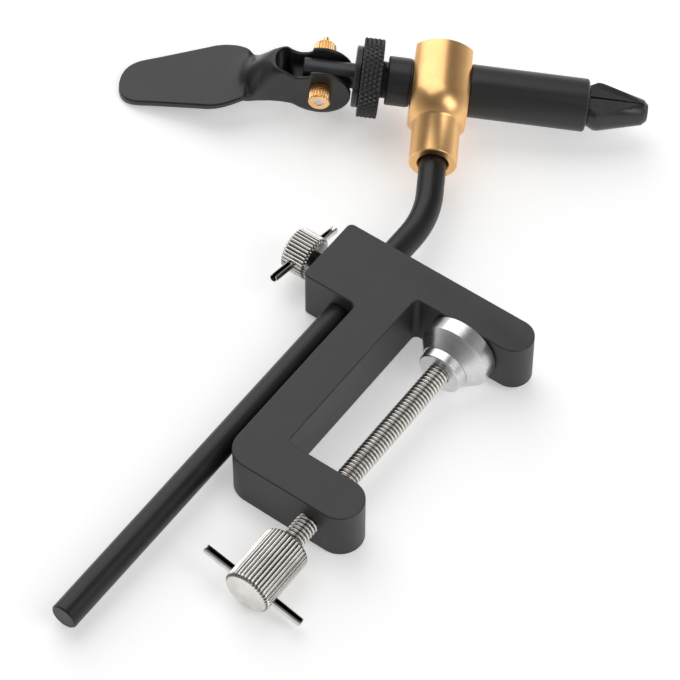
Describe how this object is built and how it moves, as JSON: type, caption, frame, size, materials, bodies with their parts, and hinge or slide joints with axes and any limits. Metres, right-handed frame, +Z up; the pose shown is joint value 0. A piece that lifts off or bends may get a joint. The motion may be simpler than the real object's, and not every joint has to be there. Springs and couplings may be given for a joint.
{
  "type": "fly tying vise",
  "caption": "Rotary fly tying vise: cam-lever jaws in a barrel on a bent stem, held by a C-clamp with a screw and a thumbscrew.",
  "frame": {"origin": "on the clamp's lower side face, under the stem axis and at the middle of the block's height", "axes": "+X along the clamp arms to their open side, +Y along the stem towards the head, +Z up through the clamp's thickness; the vise lies on its side as in the picture"},
  "size_m": [0.1904, 0.2861, 0.032],
  "materials": {
    "frame_black": "satin black coating",
    "stem_black": "semi-gloss black",
    "gold_anodised": "satin gold anodised",
    "dark_steel": "plain dark",
    "barrel_black": "gloss black",
    "black_nylon": "matte",
    "knurl_black": "black, knurled",
    "washer_black": "satin black",
    "drawbar_black": "satin black, slightly rubbed",
    "jaw_black": "satin black, ground",
    "lever_black": "satin black",
    "brass": "turned",
    "screw_nickel": "bright plated",
    "knob_nickel": "bright plated, fluted",
    "pin_steel": "bright",
    "pad_aluminium": "turned"
  },
  "bodies": {
    "clamp_frame": {"c_frame": "frame_black"},
    "lock_pad": {"stem_lock_pad": "brass"},
    "thumbscrew": {"thumbscrew_shank": "screw_nickel", "thumbscrew_knob": "knob_nickel", "thumbscrew_pin": "pin_steel", "thumbscrew_washer": "black_nylon"},
    "stem_carrier": {"stem_end_plug": "stem_black"},
    "stem_and_collar": {"stem": "stem_black", "tee_collar": "gold_anodised", "collar_set_screw": "dark_steel"},
    "rotary_barrel": {"barrel": "barrel_black", "spacer_ring": "black_nylon", "rear_sleeve": "barrel_black", "return_spring": "dark_steel"},
    "adjuster_washer": {"thrust_washer": "washer_black"},
    "adjuster_nut": {"knurled_nut": "knurl_black"},
    "jaw_puller": {"drawbar": "drawbar_black", "jaw_spring": "dark_steel"},
    "front_jaw": {"jaw_front": "jaw_black"},
    "back_jaw": {"jaw_back": "jaw_black"},
    "lever": {"cam_lever": "lever_black", "lever_pin": "dark_steel", "lever_nut_front": "brass", "lever_nut_back": "brass"},
    "pad": {"clamp_pad": "pad_aluminium"},
    "clamp_spindle": {"clamp_screw": "screw_nickel", "clamp_knob": "knob_nickel", "clamp_knob_pin": "pin_steel", "pad_retaining_screw": "pad_aluminium"}
  },
  "joints": [
    {"name": "lock_pad_travel", "type": "slide", "parent": "clamp_frame", "child": "lock_pad", "axis": [-1, 0, 0], "range_m": [0, 0.0019]},
    {"name": "thumbscrew_turn", "type": "hinge", "parent": "lock_pad", "child": "thumbscrew", "pos_m": [0, 0, 0.01015], "axis": [-1, 0, 0], "range_deg": [0, 540]},
    {"name": "stem_height", "type": "slide", "parent": "clamp_frame", "child": "stem_carrier", "axis": [0, 1, 0], "range_m": [-0.013, 0.13]},
    {"name": "stem_swing", "type": "hinge", "parent": "stem_carrier", "child": "stem_and_collar", "pos_m": [0, 0, 0.01015], "axis": [0, 1, 0], "range_deg": [-90, 90]},
    {"name": "head_rotation", "type": "hinge", "parent": "stem_and_collar", "child": "rotary_barrel", "pos_m": [-0.0286, 0.08531, 0.01316], "axis": [0.8543, 0.512, -0.0898], "continuous": true},
    {"name": "nut_travel", "type": "slide", "parent": "rotary_barrel", "child": "adjuster_washer", "axis": [0.8543, 0.512, -0.0898], "range_m": [0, 0.0014]},
    {"name": "nut_turn", "type": "hinge", "parent": "adjuster_washer", "child": "adjuster_nut", "pos_m": [-0.0286, 0.08531, 0.01316], "axis": [0.8543, 0.512, -0.0898], "range_deg": [0, 504]},
    {"name": "jaw_draw", "type": "slide", "parent": "adjuster_washer", "child": "jaw_puller", "axis": [0.8543, 0.512, -0.0898], "range_m": [0, 0.0026]},
    {"name": "cam_lever_turn", "type": "hinge", "parent": "jaw_puller", "child": "lever", "pos_m": [-0.06398, 0.06421, 0.01507], "axis": [-0.5092, 0.859, 0.0535], "range_deg": [0, 90]},
    {"name": "front_jaw_spread", "type": "hinge", "parent": "jaw_puller", "child": "front_jaw", "pos_m": [-0.00169, 0.10144, 0.01033], "axis": [-0.1045, 0, -0.9945], "range_deg": [0, 2]},
    {"name": "back_jaw_spread", "type": "hinge", "parent": "jaw_puller", "child": "back_jaw", "pos_m": [-0.00169, 0.10144, 0.01033], "axis": [0.1045, 0, 0.9945], "range_deg": [0, 2]},
    {"name": "pad_travel", "type": "slide", "parent": "clamp_frame", "child": "pad", "axis": [0, -1, 0], "range_m": [0, 0.04938]},
    {"name": "clamp_screw_turn", "type": "hinge", "parent": "pad", "child": "clamp_spindle", "pos_m": [0.0408, 0, 0.01015], "axis": [0, -1, 0], "range_deg": [0, 12600]}
  ],
  "couplings": [
    {"joint": "thumbscrew_turn", "follows": "lock_pad_travel", "rad_per_m": 4947.4},
    {"joint": "nut_turn", "follows": "nut_travel", "rad_per_m": 6283.2},
    {"joint": "cam_lever_turn", "follows": "jaw_draw", "rad_per_m": 604.15},
    {"joint": "front_jaw_spread", "follows": "jaw_draw", "rad_per_m": 13.426},
    {"joint": "back_jaw_spread", "follows": "jaw_draw", "rad_per_m": 13.426},
    {"joint": "clamp_screw_turn", "follows": "pad_travel", "rad_per_m": 4453}
  ]
}
